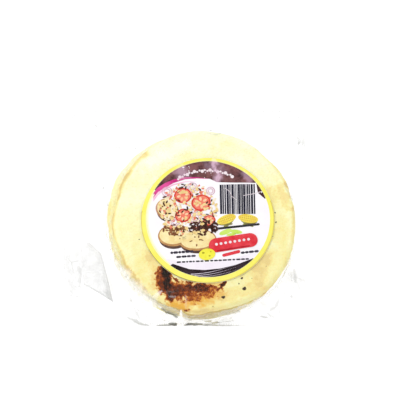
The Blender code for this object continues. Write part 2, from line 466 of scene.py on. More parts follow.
def new_tree(name, **sizes):
    """A node tree that takes a mesh and named sizes, with its first and last sockets."""
    tree = bpy.data.node_groups.new(name, "GeometryNodeTree")
    tree.interface.new_socket("Geometry", in_out="INPUT", socket_type="NodeSocketGeometry")
    tree.interface.new_socket("Geometry", in_out="OUTPUT", socket_type="NodeSocketGeometry")
    for size, value in sizes.items():
        kind = "NodeSocketInt" if isinstance(value, int) else "NodeSocketFloat"
        tree.interface.new_socket(size, in_out="INPUT", socket_type=kind).default_value = value
    return tree, wire(tree, "NodeGroupInput").outputs, wire(tree, "NodeGroupOutput").inputs


def point_value(tree, name):
    """A number that each point carries under a name."""
    return wire(tree, "GeometryNodeInputNamedAttribute", {"Name": name}, data_type="FLOAT").outputs[0]


def three_sizes(tree, **sizes):
    """Sizes along X, Y and Z, joined for one input."""
    return wire(tree, "ShaderNodeCombineXYZ", sizes).outputs[0]


def close_tree(tree, last, material, **spread):
    """Ends a tree: a shape stands on each point, becomes real and gets its material."""
    shapes = wire(tree, "GeometryNodeInstanceOnPoints", spread)
    real = wire(tree, "GeometryNodeRealizeInstances", {"Geometry": shapes.outputs[0]})
    done = wire(tree, "GeometryNodeSetMaterial", {"Geometry": real.outputs[0], "Material": material})
    tree.links.new(done.outputs[0], last["Geometry"])


def grown(name, mesh, tree, **sizes):
    """Runs a tree on a mesh with its sizes, and keeps the result as a plain mesh."""
    holder = bpy.data.objects.new(name, mesh)
    bpy.context.scene.collection.objects.link(holder)
    modifier = holder.modifiers.new(name, "NODES")
    modifier.node_group = tree
    for item in tree.interface.items_tree:
        if item.name in sizes:
            modifier[item.identifier] = sizes[item.name]
    bpy.context.view_layer.update()
    graph = bpy.context.evaluated_depsgraph_get()
    result = bpy.data.meshes.new_from_object(holder.evaluated_get(graph))
    holder.modifiers.remove(modifier)
    holder.data = result
    return holder


def fleck_finish():
    """Char: black-brown, dry and rough."""
    material, tree, shader, _, where = new_finish("charred_fleck")
    colour = ramp(tree, grain(tree, where, 1500), (
        (0.35, seen(30, 22, 18)),
        (0.65, seen(84, 62, 40)),
    ))
    fill(tree, shader, {"Base Color": colour, "Roughness": 0.8})
    return material


def fleck_tree():
    """A flattened grain on each point, at the size that the point carries."""
    tree, first, last = new_tree("flecks", Flatness=FLECK_FLATNESS)
    shape = wire(tree, "GeometryNodeMeshIcoSphere", {"Radius": 1.0, "Subdivisions": 2})
    size = point_value(tree, "size")
    narrow = worked(tree, "MULTIPLY", size, FLECK_NARROWNESS)
    flat = worked(tree, "MULTIPLY", size, first["Flatness"])
    close_tree(
        tree, last, fleck_finish(), Points=first["Geometry"], Instance=shape.outputs[0],
        Rotation=three_sizes(tree, Z=point_value(tree, "lean")),
        Scale=three_sizes(tree, X=size, Y=narrow, Z=flat),
    )
    return tree


mesh = bpy.data.meshes.new("flecks")
mesh.from_pydata([on_top_bread(across, up) for across, up, _, _ in FLECKS], [], [])
sizes, leans = [0.001 * size for _, _, size, _ in FLECKS], [lean for _, _, _, lean in FLECKS]
paint_points(mesh, size=sizes, lean=leans)
flecks = grown("flecks", mesh, fleck_tree(), Flatness=FLECK_FLATNESS)
flecks.data.shade_smooth()
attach(flecks, "root")


# The bag. It is a tube of thin clear film, welded shut at the front and the back, pulled snug over
# the stack. The spare film lies round it, creased and slightly lifted, in folds that run out from
# the stack's foot.
bag_low, bag_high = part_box("bag")
label_low, label_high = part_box("label")
LABEL_MIDDLE = ((label_low + label_high) / 2)[:2]
LABEL_RADIUS = (label_high.x - label_low.x) / 2
BAG_CORNERS = (
    (0.089, -0.061), (0.089, 0.07), (0.081, 0.0783), (-0.082, 0.0783), (-0.089, 0.069),
    (-0.089, -0.056), (-0.073, -0.069), (-0.038, -0.0783), (0.056, -0.0783), (0.08, -0.07),
)
FILM_SPOKES = 690
SHOULDER_RADIUS = 0.0042
WALL_DRAW = 0.0010
TENT_WIDTH = 0.0070
TENT_SHARE = 0.5
TENT_RISE = 0.0006
WALL_SAG = 0.0002
UNDER_INSET = 0.004
FILM_GAP = 0.0007
FILM_LEAST = 0.0006
MARGIN_HEIGHT = 0.0026
MARGIN_WAVE = 0.0011
MARGIN_WAVELENGTHS = (0.061, 0.082)
MARGIN_SLANT = 0.43
EAR_BACK = (-0.0655, -0.0160)
EAR_FRONT = (-0.0560, -0.0620)
EAR_WIDTH = 0.0150
EAR_DROP = 0.0032
EAR_HEIGHT = 0.0058
EAR_FADE = (0.35, 0.25)
FRONT_SEAL = (-0.0380, 0.0560, -0.0783, -0.0762)
BACK_SEAL = (-0.0820, 0.0810, 0.0725, 0.0783)
FRONT_EASE = 0.0012
BACK_EASE = 0.003
FOLD_COUNT = 34
FOLD_DRIFT = 0.22
FOLD_WIDTHS = (0.0014, 0.0036)
FOLD_HEIGHTS = (0.0006, 0.0024)
FOLD_LENGTHS = (0.5, 1.1)
FILM_LOW = 0.0001
FACET_LAYERS = 5
FACET_BEND = 0.12
FACET_SIZES = (0.017, 0.0062)
MARGIN_FACETS = (0.0034, 0.0009)
UNDER_FACETS = (0.0028, 0.0005)
FACE_FACETS = (0.0005, 0.00022)
FACET_RAISE = 0.3
CREASE_RELIEF = (0.0008, 0.0002)
EDGE_HOLD = (0.8, 0.6, 0.4, 0.3, 0.3, 0.5, 0.8)
PLEAT_SIZE = 0.0055
PLEAT_PULL = (0.0004, 0.0009, 0.0018)
GATHER_COUNTS = (58, 97)
GATHER_PULL = 0.0011

# Shaded creases: painted shade where the film doubles, and painted shadows where it touches the table
# and under the breads' front edges. Bright creases: painted highlights where it shines. They are in the
# plane that the camera sees, as the bread's marks are.
SHADED_CREASES = (
    (-52, -77, -36.2, -74.4, 0.7, 0.4), (-40.2, -74.8, -22.4, -72.6, 0.7, 0.52),
    (-26.4, -72.6, -13, -71.3, 0.9, 0.8), (-17.4, -71, -11.6, -71.4, 1, 1),
    (-14.6, -72, -2.8, -71.4, 0.7, 0.86), (-5.8, -71.1, 4.8, -71, 0.9, 0.98),
    (2.8, -71.2, 19, -72.2, 0.7, 0.66), (14, -71.9, 42, -73.2, 0.7, 0.52),
    (34, -72.9, 57, -72.4, 0.6, 0.4), (1, -69.6, 8.4, -67.8, 0.7, 0.5),
    (7, -68, 15.6, -69.8, 0.8, 0.56), (10.4, -70.6, 16.8, -67.4, 0.6, 0.46),
    (-5, -67.4, 4.8, -66.2, 0.7, 0.4), (-24.6, -58.6, -18, -63.2, 0.8, 0.8),
    (-19.3, -62.4, -10.9, -66.2, 1.3, 0.9), (-15.2, -64.6, -10.6, -65.4, 1.8, 0.5),
    (-9.4, -66.4, 2.4, -66.8, 1, 0.55), (5, -66.4, 15.9, -64.2, 1, 0.54),
    (-7.6, -66, 5, -67.4, 0.8, 0.5), (13.9, -64.5, 30.1, -62.5, 1.1, 0.66),
    (26, -61, 43, -54.4, 0.8, 0.36), (66.9, -34.9, 68.2, -43.2, 1.3, 0.42),
    (64.8, -36, 65.2, -42, 0.6, 0.3), (70, -40.6, 74, -42.6, 0.8, 0.26),
    (62, -33.5, 63.4, -38, 0.7, 0.26), (64.4, -52.2, 65.6, -53.6, 0.7, 0.5),
    (65.4, -48.6, 69, -57.6, 0.7, 0.24), (56.8, -54.4, 54, -60.6, 0.8, 0.36),
    (54.4, -60, 50.6, -62.6, 0.8, 0.32), (44.2, -65.8, 48.8, -66.7, 0.8, 0.58),
    (48.4, -64, 53.8, -67.2, 0.6, 0.34), (-69.8, 64.9, -68.6, 63.6, 1, 0.56),
    (-56.4, 48.6, -51.4, 48.3, 0.8, 0.4), (70.2, 55.8, 74.5, 50.1, 1.2, 0.52),
    (71.4, 51.8, 72.2, 50.8, 1, 0.84), (74.4, 56.8, 75.8, 48.8, 1.1, 0.44),
    (-44, 63, -43.4, 55, 0.9, 0.32), (4.8, 57.1, 17.4, 56.9, 0.6, 0.46),
    (-43.6, -54.6, -42.4, -56.6, 0.7, 0.5), (-45.6, -66.4, -36.6, -70.6, 0.9, 0.5),
    (-41, -69.8, -30.6, -72, 0.9, 0.56), (-47.6, -70, -43.4, -69.4, 0.9, 0.36),
    (-41, -61, -37, -68, 0.6, 0.3), (-61, 13, -56.4, 4.6, 0.7, 0.26), (60, 22, 66, 12, 0.6, 0.24),
)
BRIGHT_CREASES = (
    (-9.1, -60.6, -12.4, -79, 0.7, 0.95), (-9.1, -60.6, -9.9, -80, 0.8, 0.42),
    (-9.1, -60.6, -7.6, -79, 0.7, 1), (-17.6, -64.4, -11.2, -68.8, 0.8, 0.85),
    (-6.4, -51, -5.6, -58.6, 0.6, 0.18), (-17.3, -52, -12.6, -52.3, 0.5, 0.26),
    (-19.8, -49.2, -13.6, -48.9, 0.5, 0.08), (-22.2, -48.6, -29.4, -52.8, 1, 0.5),
    (-23, -49.6, -29.6, -56, 1, 0.44), (-3, -68.6, 7, -69.6, 0.8, 0.6), (12, -68.6, 19, -66, 0.7, 0.6),
    (36, 32, 44, 22, 1.6, 0.26), (48.6, -6, 50.6, 6, 1.2, 0.24),
)
# Painted highlights: white glare veils where the film lies bunched at the front, and glares over the top
# bread.
GLARE_VEILS = (
    (-56.8, -23, -53.6, -30, 2.2, 0.78), (-53.6, -30, -48.8, -37, 3.2, 1),
    (-48.8, -37, -41.6, -45.2, 4.2, 1), (-41.6, -45.2, -34, -52.6, 4.4, 1),
    (-34, -52.6, -29, -57.2, 4.2, 1), (-30.2, -57.6, -28.6, -66, 2.6, 0.5),
    (-27, -56.4, -24.4, -58, 2.4, 0.26), (63.6, -29, 58, -41.2, 1.8, 0.42),
    (58, -41.2, 48.8, -50.8, 2, 0.46), (48.8, -50.8, 36, -58.2, 2, 0.42),
)
GLARES = (
    (-30.6, 37, -8, 49.6, 4.6, 0.5), (-35, 31, -26, 42, 3, 0.26),
)
# Painted reflection: a warm tint of the bread's light in the film at the front foot.
BREAD_REFLECTION_TINTS = (
    (-5, -66.4, 13, -68.6, 3.2, 0.8), (10, -65.8, 28, -63, 2, 0.8),
)
# Painted shade: grey haze and a stronger net of grey crease lines where the film is crumpled.
CRUMPLE_SHADES = (
    (-4, -66.6, 22, -68.6, 3.4, 1), (-24, -66, -10, -69.6, 3, 0.5), (60, -40, 70, -44, 5, 0.5),
    (46, -60, 60, -62, 4, 0.4), (-62, -40, -78, -30, 12, 0.6), (-44, -58, -30, -70, 5, 0.5),
)
CLINGING = ((20, 62, 0.85), (112, 92, 0.9))


def edge_reach(angle):
    """Distance from the stack's middle to the bag's outline."""
    run_x, run_y = math.cos(angle), math.sin(angle)
    for (x1, y1), (x2, y2) in zip(BAG_CORNERS, BAG_CORNERS[1:] + BAG_CORNERS[:1]):
        side_x, side_y = x2 - x1, y2 - y1
        from_x, from_y = x1 - STACK_MIDDLE[0], y1 - STACK_MIDDLE[1]
        turn = run_x * side_y - run_y * side_x
        if abs(turn) < 1e-9:
            continue
        reach = (from_x * side_y - from_y * side_x) / turn
        if reach > 0 and 0 <= (from_x * run_y - from_y * run_x) / turn <= 1:
            return reach


def ear_place(x, y):
    """Distance along the ear's crease, and outward from it, of each place."""
    run = np.subtract(EAR_FRONT, EAR_BACK)
    length = np.hypot(*run)
    along = ((x - EAR_BACK[0]) * run[0] + (y - EAR_BACK[1]) * run[1]) / length
    outward = ((x - EAR_BACK[0]) * run[1] - (y - EAR_BACK[1]) * run[0]) / length
    return along, outward, length


def ear_height(x, y):
    """Height that the folded ear adds: a slope up to a crease, then a drop."""
    along, outward, length = ear_place(x, y)
    across = np.where(outward > 0, 1 - outward / EAR_WIDTH, 1 + outward / EAR_DROP)
    ends = ease(along / (EAR_FADE[0] * length)) * ease((length - along) / (EAR_FADE[1] * length))
    return EAR_HEIGHT * np.clip(across, 0, 1) * ends


def margin_height(x, y):
    """Height of the loose margin, which waves gently."""
    along = 2 * math.pi * (x + MARGIN_SLANT * y) / MARGIN_WAVELENGTHS[0]
    across = 2 * math.pi * (y - MARGIN_SLANT * x) / MARGIN_WAVELENGTHS[1]
    return MARGIN_HEIGHT + MARGIN_WAVE * np.sin(along) * np.cos(across + 1) + ear_height(x, y)


def sealed(y):
    """How far each place is inside the flat welded bands, from 0 to 1."""
    front = ease((FRONT_SEAL[3] + FRONT_EASE - y) / FRONT_EASE)
    return np.maximum(front, ease((y - BACK_SEAL[2] + BACK_EASE) / BACK_EASE))


def facets(x, y, spacing, seed):
    """Flat facets that meet in sharp creases, about -0.5 to 0.5, as in film that was crumpled."""
    rng = np.random.default_rng(seed)
    total = np.zeros(x.shape)
    for _ in range(FACET_LAYERS):
        lean = rng.uniform(0, math.pi)
        step = spacing * rng.uniform(0.6, 1.7)
        sway = np.sin(2 * math.pi * (x * math.sin(lean) - y * math.cos(lean)) / (3 * step))
        phase = (x * math.cos(lean) + y * math.sin(lean)) / step + rng.uniform() + FACET_BEND * sway
        total += 2 * np.abs(phase - np.floor(phase) - 0.5)
    return total / FACET_LAYERS - 0.5


def run_out_folds(angle, reach, beyond, gap):
    """Sharp folds that start at the stack's foot and run out, each its own width and height."""
    rng = np.random.default_rng(23)
    total = np.zeros(reach.shape)
    for _ in range(FOLD_COUNT):
        heading, drift = rng.uniform(-math.pi, math.pi), rng.uniform(-FOLD_DRIFT, FOLD_DRIFT)
        width, height, length = (rng.uniform(*sizes) for sizes in (FOLD_WIDTHS, FOLD_HEIGHTS, FOLD_LENGTHS))
        off = (angle - heading - drift * beyond / 0.03 + math.pi) % (2 * math.pi) - math.pi
        ridge = np.clip(1 - np.abs(off) * reach / width, 0, 1)
        fade = ease((beyond + 0.008) / 0.008) * (1 - ease(beyond / (length * gap)))
        total = np.maximum(total, height * ridge * fade)
    return total


def film_rings():
    """The rings of the closed film: over the top, down the side, out to the edge and back under."""
    angles = np.linspace(0, 2 * math.pi, FILM_SPOKES, endpoint=False)
    reaches = np.array([edge_reach(angle) for angle in angles])
    edge = np.array(STACK_MIDDLE) + reaches[:, None] * np.stack((np.cos(angles), np.sin(angles)), 1)
    size = np.array((bag_high - bag_low)[:2])
    edge = (edge - (edge.min(0) + edge.max(0)) / 2) * size / np.ptp(edge, axis=0)
    out = edge - np.array(STACK_MIDDLE)
    full = np.hypot(out[:, 0], out[:, 1])
    out /= full[:, None]
    angle = np.arctan2(out[:, 1], out[:, 0])
    top = bread_reach(TOP_BREAD, angle)
    middle = np.maximum(bread_reach(MIDDLE_BREAD, angle), top - WALL_DRAW)
    bottom = np.maximum(bread_reach(BOTTOM_BREAD, angle), middle - WALL_DRAW)
    gap = full - bottom
    foot = bottom + np.minimum(TENT_WIDTH, TENT_SHARE * gap)
    rings, zones = [], []

    def ring(distance, height, zone):
        flat = np.array(STACK_MIDDLE) + distance[:, None] * out
        if callable(height):
            height = height(flat[:, 0], flat[:, 1])
        rings.append(np.column_stack((flat, np.broadcast_to(height, distance.shape))))
        zones.append(np.full(distance.shape, zone))

    plateau = top - SHOULDER_RADIUS
    for share in (*np.linspace(0.06, 0.62, 10), *np.linspace(0.64, 1, 38)):
        ring(share * plateau, top_height, 0.0)
    shoulder = rings[-1][:, 2]
    for lean in np.radians(np.arange(82, -9, -9)):
        height = shoulder - SHOULDER_RADIUS * (1 - math.sin(lean))
        ring(plateau + SHOULDER_RADIUS * math.cos(lean), height, 0.4)
    for near, far, level in ((top, middle, 2), (middle, bottom, 1)):
        for share in np.linspace(0.15, 1, 6):
            sag = WALL_SAG * math.sin(math.pi * share)
            height = (level + 0.35 - 0.85 * share) * BREAD_THICKNESS
            ring(near + share * (far - near) - sag, height, 0.7)
    wall_height = rings[-1][:, 2]
    foot_flat = np.array(STACK_MIDDLE) + foot[:, None] * out
    foot_height = margin_height(foot_flat[:, 0], foot_flat[:, 1]) + TENT_RISE
    for share in np.linspace(0.1, 1, 9):
        height = wall_height + (foot_height - wall_height) * (1 - (1 - share) ** 1.5)
        ring(bottom + share * (foot - bottom), height, 0.85)
    for share in (*np.linspace(0.03, 0.985, 31), 1.0):
        ring(foot + share * (full - foot), margin_height, 1.0)
    top_count = len(rings)
    for share in np.linspace(0.985, 0.0, 18):
        ring(foot + share * (full - foot), margin_height, -1.0)
        rings[-1][:, 2] -= FILM_GAP
    for share in (0.5, 1.0):
        ring(foot + share * (bottom - UNDER_INSET - foot), 0.0012 - 0.0011 * share, -0.5)
    for share in (0.85, 0.5, 0.15):
        ring(share * (bottom - UNDER_INSET), FILM_LOW, -0.5)
    rings = np.array(rings)
    reach = np.hypot(rings[..., 0] - STACK_MIDDLE[0], rings[..., 1] - STACK_MIDDLE[1])
    folds = run_out_folds(angle[None], reach, reach - bottom[None], gap[None])
    return rings, np.array(zones), folds, top_count, out


rings, zones, folds, top_count, out = film_rings()
x, y = rings[..., 0], rings[..., 1]
above, below, face = zones > 0.8, zones < -0.8, zones == 0
wall = (zones > 0.3) & (zones < 0.9)
held = rising(np.hypot(x - LABEL_MIDDLE[0], y - LABEL_MIDDLE[1]), LABEL_RADIUS, 0.004)
loose = np.abs(zones) * (1 - sealed(y))
loose[top_count - 4:top_count + 3] *= np.array(EDGE_HOLD)[:, None]
wide, fine = facets(x, y, FACET_SIZES[0], 3), facets(x, y, FACET_SIZES[1], 8)
# Painted shade and painted shadow lines on the film.
dark = marked(rings, SHADED_CREASES, 0.45, 71, pointed=True)
bright = marked(rings, BRIGHT_CREASES, 0.4, 81, pointed=True)
# Painted highlight: the glare veils, striped by the gathers, join the bright creases.
glare_veil = marked(rings, GLARE_VEILS, 1.1, 85) * np.clip(1 + 0.4 * lumps(rings, 0.0085, 27), 0.6, 1)
heading = np.arctan2(out[:, 1], out[:, 0])[None]
bunched = lumps(rings, 0.014, 24)
gathers = 0.5 + 0.32 * np.sin(GATHER_COUNTS[0] * heading + 6 * bunched)
gathers += 0.18 * np.sin(GATHER_COUNTS[1] * heading - 4 * bunched)
bright = np.maximum(bright, glare_veil * (0.70 + 0.30 * gathers))
crumple_shade = marked(rings, CRUMPLE_SHADES, 3.0, 91)

upper = MARGIN_FACETS[0] * wide + MARGIN_FACETS[1] * fine + folds + CREASE_RELIEF[0] * dark
under = UNDER_FACETS[0] * wide + UNDER_FACETS[1] * fine + 0.6 * folds
rise = loose * (above * upper + below * under)
slopes = FACE_FACETS[0] * (wide + FACET_RAISE) + FACE_FACETS[1] * (fine + FACET_RAISE)
rise += face * held * (slopes + CREASE_RELIEF[1] * bright)
rings[..., 2] += rise
pleats = lumps(rings * np.array((1, 1, 0.25)), PLEAT_SIZE, 21)
pull = np.clip(PLEAT_PULL[0] + PLEAT_PULL[1] * pleats, 0, PLEAT_PULL[2])
pull = wall * (pull + 0.35 * folds + GATHER_PULL * glare_veil * gathers)
rings[..., :2] += out[None] * pull[..., None]
rings[..., 2] = np.maximum(rings[..., 2], np.where(zones > 0, FILM_LEAST, FILM_LOW))

ends = [(*STACK_MIDDLE, float(top_height(*STACK_MIDDLE))), (*STACK_MIDDLE, FILM_LOW)]
mesh = round_mesh("film", rings, *ends)
# The shade field is painted shade and painted shadow on the film, the shine field is painted highlight.
for name, values in (
    ("shade", dark * (zones > 0) + (0.07 * np.clip(folds / 0.001, 0, 1) + 0.26 * crumple_shade) * above),
    ("shine", np.maximum(bright, marked(rings, GLARES, 1.6, 88)) * (zones >= 0)),
    ("slack", held * np.where(np.abs(zones) > 0.8, 0.35 + crumple_shade, 0.12)),
    ("bread_reflection", marked(rings, BREAD_REFLECTION_TINTS, 1.5, 95)),
    ("cling", round_marks(heading, CLINGING, 2) * (np.abs(zones) < 0.8)),
):
    paint_points(mesh, **{name: [*values.ravel(), 0, 0]})


def film_finish():
    """Clear film: seen through face on, hazy where it leans, grey with painted shade where it doubles and
    creases and painted shadow where it meets the table, tinted by a painted reflection of the bread, white
    and glowing at painted glints.
    """
    material, tree, shader, output, where = new_finish("clear_film")
    lean = wire(tree, "ShaderNodeLayerWeight", {"Blend": 0.5}).outputs["Facing"]
    # Painted shade: a net of grey crease lines, strongest where the film is loose.
    lines = []
    for scale, width in ((52, 0.022), (118, 0.035)):
        sizes = {"Vector": where, "Scale": scale}
        cells = wire(tree, "ShaderNodeTexVoronoi", sizes, feature="DISTANCE_TO_EDGE")
        lines.append(stretched(tree, cells.outputs[0], 0.0, width, 1.0, 0.0))
    kept = stretched(tree, grain(tree, where, 75), 0.50, 0.62)
    net = worked(tree, "MULTIPLY", worked(tree, "MAXIMUM", *lines), kept)
    net = worked(tree, "MULTIPLY", net, field_value(tree, "slack"))
    dark = worked(tree, "MULTIPLY_ADD", net, 0.32, field_value(tree, "shade"))
    shine = field_value(tree, "shine")

    tone = ramp(tree, dark, (
        (0.0, (0.84, 0.84, 0.83, 1.0)),
        (0.2, seen(224, 224, 222)),
        (0.5, seen(188, 189, 184)),
        (0.8, seen(120, 122, 104)),
        (1.0, seen(58, 62, 44)),
    ))
    # Painted reflection of the bread, a warm beige tint.
    tone = blended(tree, field_value(tree, "bread_reflection"), tone, seen(208, 197, 150))
    white = (1.0, 1.0, 1.0, 1.0)
    whiten = worked(tree, "MINIMUM", worked(tree, "MULTIPLY", shine, 12.0), 1.0)
    ripple = wire(tree, "ShaderNodeBump", {
        "Height": worked(tree, "ADD", grain(tree, where, 260, 2.0), net),
        "Strength": 0.3,
        "Distance": 0.0006,
    }).outputs[0]
    # Painted highlight: where the shine field lies, the film turns white and glows a little.
    fill(tree, shader, {
        "Base Color": blended(tree, whiten, tone, white),
        "Roughness": 0.25,
        "Emission Color": white,
        "Emission Strength": worked(tree, "MULTIPLY", shine, 0.2),
        "Normal": ripple,
    })

    free = worked(tree, "SUBTRACT", 1.0, field_value(tree, "cling"))
    leant = worked(tree, "MULTIPLY", worked(tree, "POWER", lean, 3.0), free)
    haze = worked(tree, "MULTIPLY_ADD", leant, 0.40, worked(tree, "MULTIPLY", dark, 0.85))
    haze = worked(tree, "MAXIMUM", haze, worked(tree, "MULTIPLY", shine, 0.85))
    haze = worked(tree, "MINIMUM", haze, 0.88)
    clear = wire(tree, "ShaderNodeBsdfTransparent")
    body = wire(tree, "ShaderNodeMixShader", {0: haze, 1: clear.outputs[0], 2: shader.outputs[0]})
    gloss = wire(tree, "ShaderNodeBsdfGlossy", {"Roughness": 0.09, "Normal": ripple})
    glance = worked(tree, "MULTIPLY", worked(tree, "POWER", lean, 5.0), free)
    glance = worked(tree, "MULTIPLY_ADD", glance, 0.75, 0.005)
    both = wire(tree, "ShaderNodeMixShader", {0: glance, 1: body.outputs[0], 2: gloss.outputs[0]})
    tree.links.new(both.outputs[0], output.inputs["Surface"])
    return material


clear_film = film_finish()
film = placed("film", mesh, clear_film)
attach(film, "root")
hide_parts("bag")


# The ear. At the front left the spare film is folded back on itself, so a loose double flap lies
# over the margin, with its crease towards the stack and a wider cuff of film behind it.
EAR_LEFT = ((-0.0774, -0.0185), (-0.0765, -0.0377), (-0.0750, -0.0496))
EAR_RIGHT = ((-0.0714, -0.0199), (-0.0636, -0.0287), (-0.0589, -0.0467), (-0.0550, -0.0620))
CUFF_LEFT = ((-0.0886, -0.0222), (-0.0885, -0.0400), (-0.0868, -0.0574))
CUFF_RIGHT = ((-0.0774, -0.0187), (-0.0765, -0.0377), (-0.0772, -0.0590))
FLAP_STEPS = (28, 70)
FLAP_THICKNESS = 0.00012
FLAP_FACETS = ((0.011, 0.0016), (0.005, 0.0006))
FLAP_SIZE = (0.012, 0.035)
FLAP_EDGE = 0.0024
# Painted shade: grey patches on the folded flaps.
FLAP_SHADE_MARKS = (
    (-79.6, -34.2, -77.4, -42.6, 1.7, 0.3), (-77.6, -41, -77.4, -46.8, 1.4, 0.26),
    (-71.4, -17.4, -62, -30.8, 3.2, 0.26), (-84.4, -42, -80.4, -48, 2.2, 0.22),
    (-82.6, -46, -83, -56, 1.8, 0.22), (-60.4, -36, -56, -56, 3.4, 0.34),
    (-58.6, -50, -56, -58, 3, 0.42), (-72, -34, -66, -38, 2.6, 0.2), (-86, -26, -85, -40, 1.8, 0.17),
)


def along_line(line, share):
    """Points at shares of the way along a line of corners."""
    corners = np.array(line)
    run = np.concatenate(([0], np.cumsum(np.linalg.norm(np.diff(corners, axis=0), axis=1))))
    return np.stack([np.interp(share * run[-1], run, corners[:, axis]) for axis in (0, 1)], -1)


def flap(name, left, right, lift, seed, body, edges):
    """A closed thin sheet of crumpled film between two lines of corners, with painted shade, darker along
    its edges and in patches.
    """
    inward, onward = FLAP_STEPS
    u, v = np.meshgrid(np.linspace(0, 1, inward), np.linspace(0, 1, onward), indexing="ij")
    flat = along_line(left, v) * (1 - u[..., None]) + along_line(right, v) * u[..., None]
    x, y = flat[..., 0], flat[..., 1]
    height = margin_height(x, y) + lift
    for i, (size, depth) in enumerate(FLAP_FACETS):
        height += depth * facets(x, y, size, seed + i)
    upper = np.concatenate((flat, height[..., None]), 2)
    lower = upper - np.array((0, 0, FLAP_THICKNESS))
    number = np.arange(inward * onward).reshape(inward, onward)
    corners = number[:-1, :-1], number[:-1, 1:], number[1:, 1:], number[1:, :-1]
    a, b, c, d = (part.ravel() for part in corners)
    under = inward * onward
    faces = np.stack((a, d, c, b), 1).tolist() + (under + np.stack((a, b, c, d), 1)).tolist()
    around = [*number[:-1, 0], *number[-1, :-1], *number[:0:-1, -1], *number[0, :0:-1]]
    for first, second in zip(around, around[1:] + around[:1]):
        faces.append((second, first, under + first, under + second))
    mesh = bpy.data.meshes.new(name)
    mesh.from_pydata(np.concatenate((upper, lower)).reshape(-1, 3).tolist(), [], faces)
    mesh.shade_smooth()
    wide, long = FLAP_SIZE
    sides = (wide * u, wide * (1 - u), long * v, long * (1 - v))
    shade = body + 0.12 * facets(x, y, 0.009, seed + 2)
    for distance, strength in zip(sides, edges):
        shade = np.maximum(shade, strength * (1 - ease(distance / FLAP_EDGE)))
    shade = np.maximum(shade, marked(upper, FLAP_SHADE_MARKS, 1.6, seed))
    paint_points(mesh, shade=[*shade.ravel(), *shade.ravel()], shine=0, slack=0.35)
    piece = placed(name, mesh, clear_film)
    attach(piece, "root")


# Each flap's painted shade: over its body, then along its four edges.
flap("cuff", CUFF_LEFT, CUFF_RIGHT, 0.0006, 29, 0.12, (0.18, 0.14, 0.10, 0.18))
flap("ear", EAR_LEFT, EAR_RIGHT, 0.0010, 17, 0.16, (0.15, 0.38, 0.20, 0.42))


# The welds. At the front and the back edge the two layers are pressed together by a hot ribbed
# jaw, which leaves a row of fine ribs across the welded band.
RIB_PITCH = 0.0016
RIB_HALF = 0.00022
RIB_INSET = 0.0003


def rib_tree():
    """A row of ribs along X, each a thin ridge along Y."""
    tree, first, last = new_tree("weld_ribs", Length=0.1, Depth=0.002, Pitch=RIB_PITCH, Half=RIB_HALF)
    whole = worked(tree, "DIVIDE", first["Length"], first["Pitch"])
    step = three_sizes(tree, X=first["Pitch"])
    row = wire(tree, "GeometryNodeMeshLine", {"Count": whole, "Offset": step})
    sizes = {"Vertices": 6, "Radius": first["Half"], "Depth": first["Depth"]}
    ridge = wire(tree, "GeometryNodeMeshCylinder", sizes)
    lying = (math.pi / 2, 0, 0)
    close_tree(tree, last, clear_film, Points=row.outputs[0], Instance=ridge.outputs[0], Rotation=lying)
    return tree


ribs = rib_tree()
for name, (left, right, front, back) in (("weld_front", FRONT_SEAL), ("weld_back", BACK_SEAL)):
    weld = grown(
        name, bpy.data.meshes.new(name), ribs,
        Length=right - left, Depth=back - front - 2 * RIB_INSET, Pitch=RIB_PITCH, Half=RIB_HALF,
    )
    for vert in weld.data.vertices:
        vert.co.x += left
        vert.co.y += (front + back) / 2
        vert.co.z += float(margin_height(vert.co.x, vert.co.y))
    weld.data.shade_smooth()
    paint_points(weld.data, shade=0.06, shine=0, slack=0)
    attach(weld, "root")


# The sticker. It is a round of coated paper, stuck on the film over the top bread. It takes up the
# unevenness under it, and a few soft creases.
LABEL_LIFT = 0.00045
LABEL_SHEET = 0.0002
LABEL_CREASE_HEIGHT = 0.0006
PRINT_TURN = math.radians(4)
LABEL_CREASES = (
    (8, 31, 11, 20, 1.6, 0.3), (-6, 34, -3, 26, 1.4, 0.22), (37, 14, 45, 16.5, 1, 0.22),
    (-28, 4, -26, -12, 1.8, 0.26),
)


def label_places(x, y):
    """Places on the sticker's face over an array of places on the table."""
    flat = np.stack((x, y, top_height(x, y) + LABEL_LIFT), -1)
    flat[..., 2] += LABEL_CREASE_HEIGHT * marked(flat, LABEL_CREASES)
    return flat


def coated(name, ink, worn, lump=0.011, glare=(226, 190, 212)):
    """Printed coated paper, faintly uneven in its ink, and painted in its glare colour where the sheen
    field lies: painted highlights, and a painted lavender shade.
    """
    material, tree, shader, _, where = new_finish(name)
    fibres, mottle = grain(tree, where, 900, 2.0), grain(tree, where, 1 / lump, 2.0)
    tone = stretched(tree, worked(tree, "MULTIPLY_ADD", fibres, 0.4, mottle), 0.52, 0.88)
    inked = blended(tree, tone, seen(*ink), seen(*worn))
    inked = blended(tree, field_value(tree, "sheen"), inked, seen(*glare))
    fill(tree, shader, {"Base Color": inked, "Roughness": 0.4, "Specular IOR Level": 0.08})
    return material


spokes = np.linspace(0, 2 * math.pi, 144, endpoint=False)
rings = []
for reach in LABEL_RADIUS * np.array((*np.linspace(0.03, 0.97, 32), 1.0)):
    across, along = reach * np.cos(spokes), reach * np.sin(spokes)
    rings.append(label_places(LABEL_MIDDLE[0] + across, LABEL_MIDDLE[1] + along))
sheet = np.array((0, 0, LABEL_SHEET))
middle = label_places(*np.array(LABEL_MIDDLE)[:, None])[0]
rings = np.array(rings + [ring - sheet for ring in reversed(rings)])
mesh = round_mesh("label_paper", rings, middle, middle - sheet)
label = placed("label_paper", mesh, coated("paper_white", (255, 252, 255), (249, 245, 250)))
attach(label, "root")
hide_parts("label")


